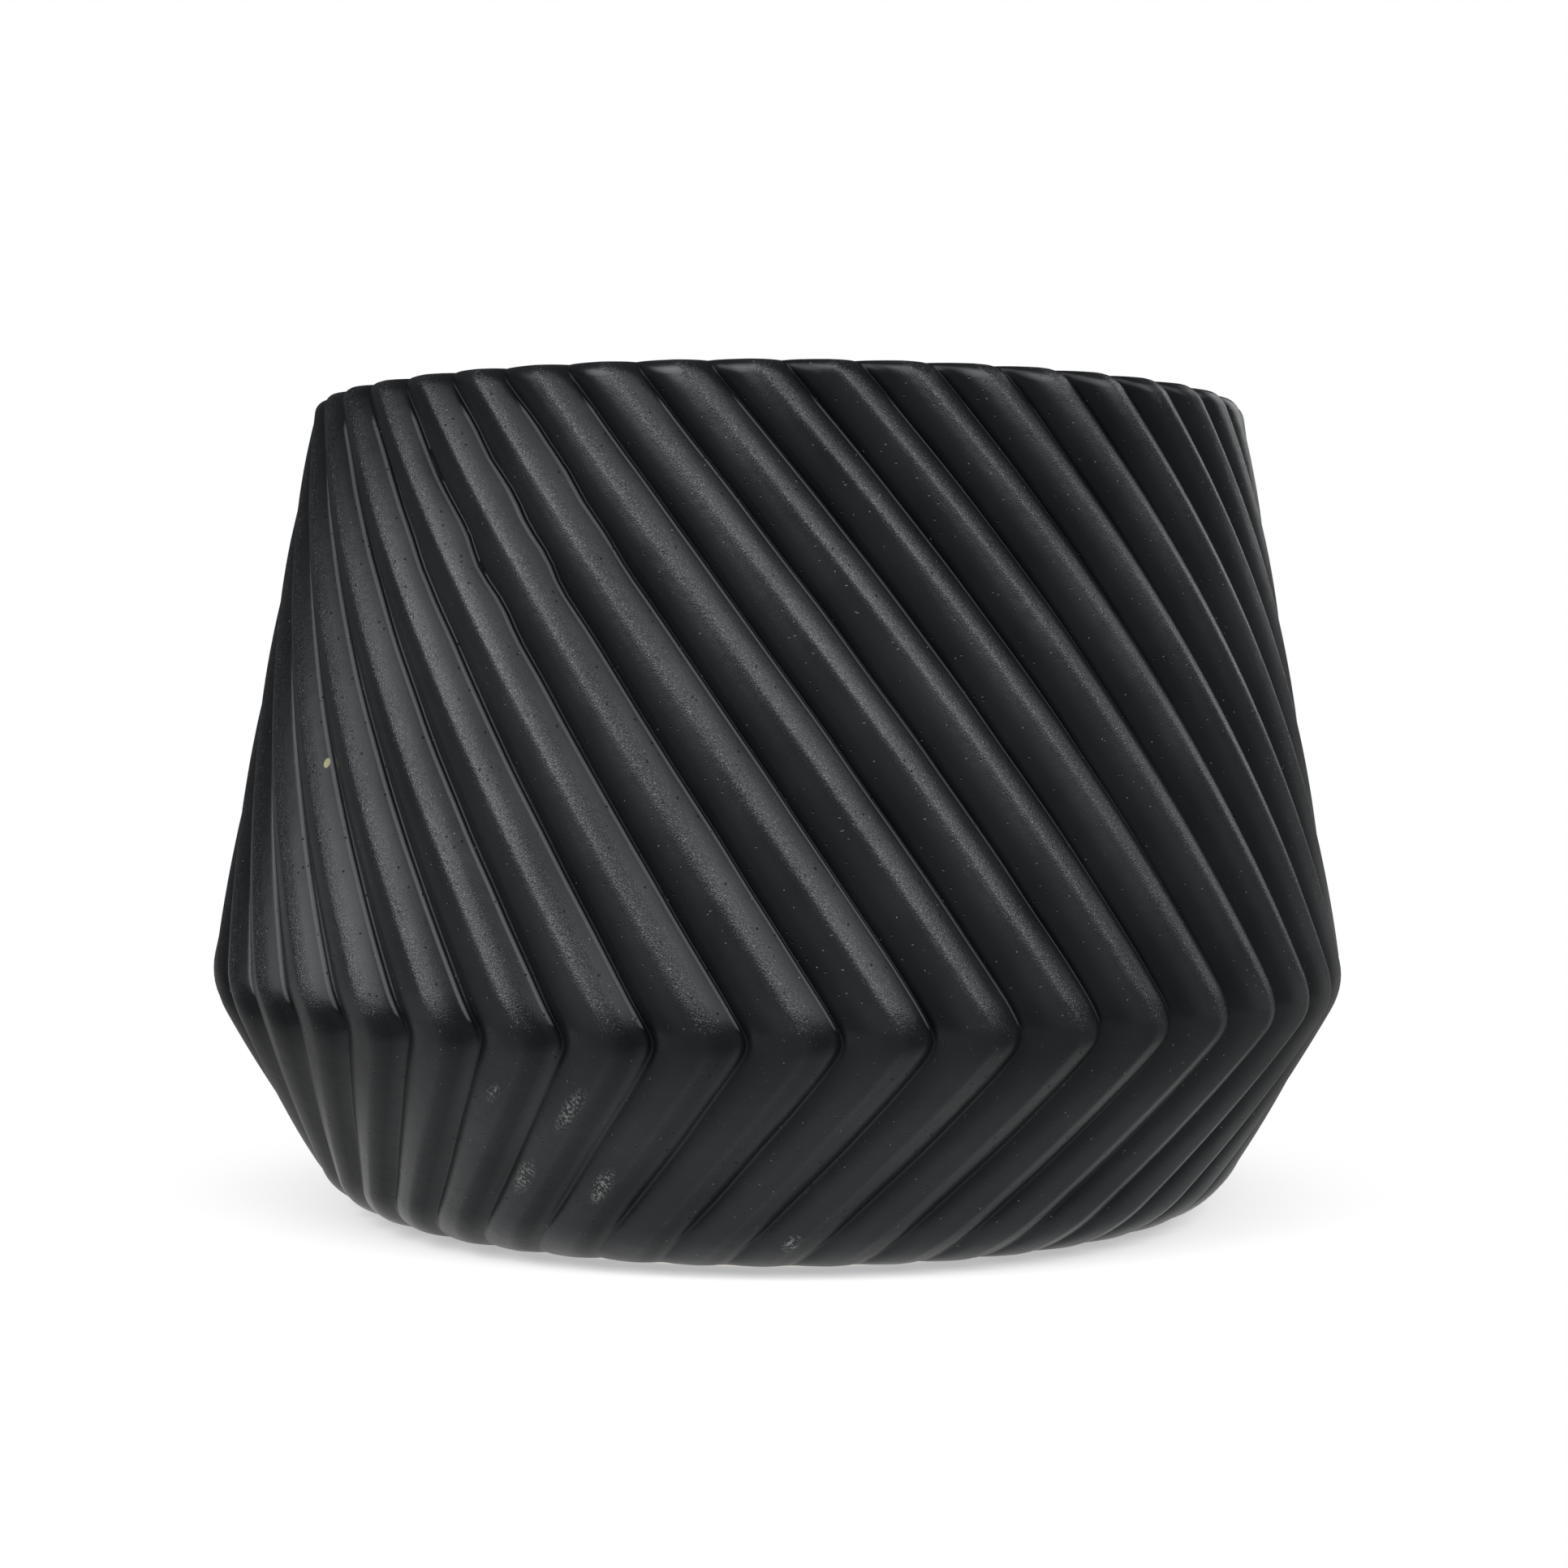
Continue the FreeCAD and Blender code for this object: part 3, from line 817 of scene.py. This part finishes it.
# ---------------------------------------------------------------- the pieces
# What makes it, the node it replaces, its slot, how rough and how worn it is, and if it is ribbed.
COATS = (
    (make_outside, "outer_glaze", "matte_black_glaze", 0.29, 1.0, True),
    (make_inside, "liner_glaze", "liner_glaze", 0.27, 0.6, False),
    (make_puddle, "base_glaze", "base_glaze", 0.26, 0.4, False),
)
for make, stands_for, slot, roughness, worn, on_ribs in COATS:
    piece = make()
    piece.data.materials.append(glaze(slot, roughness, worn, on_ribs))
    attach(piece, "root")
    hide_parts(stands_for)
clay = bare_clay()
for material_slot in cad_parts["clay_body"].material_slots:
    material_slot.material = clay


# ---------------------------------------------------------------- the studio
def make_floor():
    """A plain pale floor that turns to even white away from the jar."""
    add_circle = bpy.ops.mesh.primitive_circle_add
    add_circle(vertices=FLOOR_SIDES, radius=FLOOR_RADIUS, fill_type="NGON")
    floor = bpy.context.object
    floor.name = "studio_floor"
    material, tree, shader = new_material("studio_floor")
    shader.inputs["Base Color"].default_value = FLOOR_COLOUR
    shader.inputs["Roughness"].default_value = FLOOR_ROUGHNESS
    shader.inputs["Specular IOR Level"].default_value = 0
    shader.inputs["Emission Color"].default_value = WHITE
    shader.inputs["Emission Strength"].default_value = FLOOR_LIFT
    distance = node(tree, "VectorMath", Vector=position(tree))
    distance.operation = "LENGTH"
    away = remap(tree, distance.outputs["Value"], FLOOR_NEAR, FLOOR_FAR, 0, 1)
    seen = node(tree, "LightPath").outputs["Is Camera Ray"]
    strength = remap(tree, seen, 0, 1, FLOOR_LIGHT, FLOOR_GLOW)
    glow = node(tree, "Emission", Color=WHITE, Strength=strength)
    mix = node(tree, "MixShader", Fac=away)
    tree.links.new(shader.outputs[0], mix.inputs[1])
    tree.links.new(glow.outputs[0], mix.inputs[2])
    tree.links.new(mix.outputs[0], tree.nodes["Material Output"].inputs["Surface"])
    floor.data.materials.append(material)


def softbox(name, azimuth, elevation, width, height, watts):
    """A rectangular soft light that faces the jar. Azimuth is from -Y towards +X."""
    light = bpy.data.lights.new(name, "AREA")
    light.shape = "RECTANGLE"
    light.size = width
    light.size_y = height
    light.energy = watts * width * height
    lamp = bpy.data.objects.new(name, light)
    a, e = azimuth * DEGREE, elevation * DEGREE
    direction = Vector((math.sin(a) * math.cos(e), -math.cos(a) * math.cos(e), math.sin(e)))
    lamp.location = Vector((0, 0, HEIGHT / 2)) + direction * LAMP_DISTANCE
    lamp.rotation_euler = direction.to_track_quat("Z", "Y").to_euler()
    bpy.context.scene.collection.objects.link(lamp)


def make_world():
    """White to the camera, and a dimmer even light on the jar."""
    world = bpy.data.worlds.new("studio")
    world.use_nodes = True
    tree = world.node_tree
    seen = tree.nodes["Background"]
    seen.inputs["Color"].default_value = WHITE
    lit = node(tree, "Background", Color=WORLD_COLOUR, Strength=WORLD_LIGHT)
    path = node(tree, "LightPath")
    mix = node(tree, "MixShader", Fac=path.outputs["Is Camera Ray"])
    tree.links.new(lit.outputs[0], mix.inputs[1])
    tree.links.new(seen.outputs[0], mix.inputs[2])
    tree.links.new(mix.outputs[0], tree.nodes["World Output"].inputs["Surface"])
    bpy.context.scene.world = world


def make_camera():
    """The camera in front of the jar, turned a little from level."""
    data = bpy.data.cameras.new("camera")
    data.lens = LENS
    data.sensor_width = SENSOR
    camera = bpy.data.objects.new("camera", data)
    stand = Matrix.Translation((0, -CAMERA_DISTANCE, CAMERA_HEIGHT))
    yaw = Matrix.Rotation(-CAMERA_YAW, 4, "Z")
    pitch = Matrix.Rotation(math.pi / 2 - CAMERA_PITCH, 4, "X")
    roll = Matrix.Rotation(CAMERA_ROLL, 4, "Z")
    camera.matrix_world = stand @ yaw @ pitch @ roll
    bpy.context.scene.collection.objects.link(camera)
    bpy.context.scene.camera = camera


make_floor()
make_world()
make_camera()
for name, numbers in SOFTBOXES.items():
    softbox(name, *numbers)
bpy.context.scene.view_settings.view_transform = "Standard"
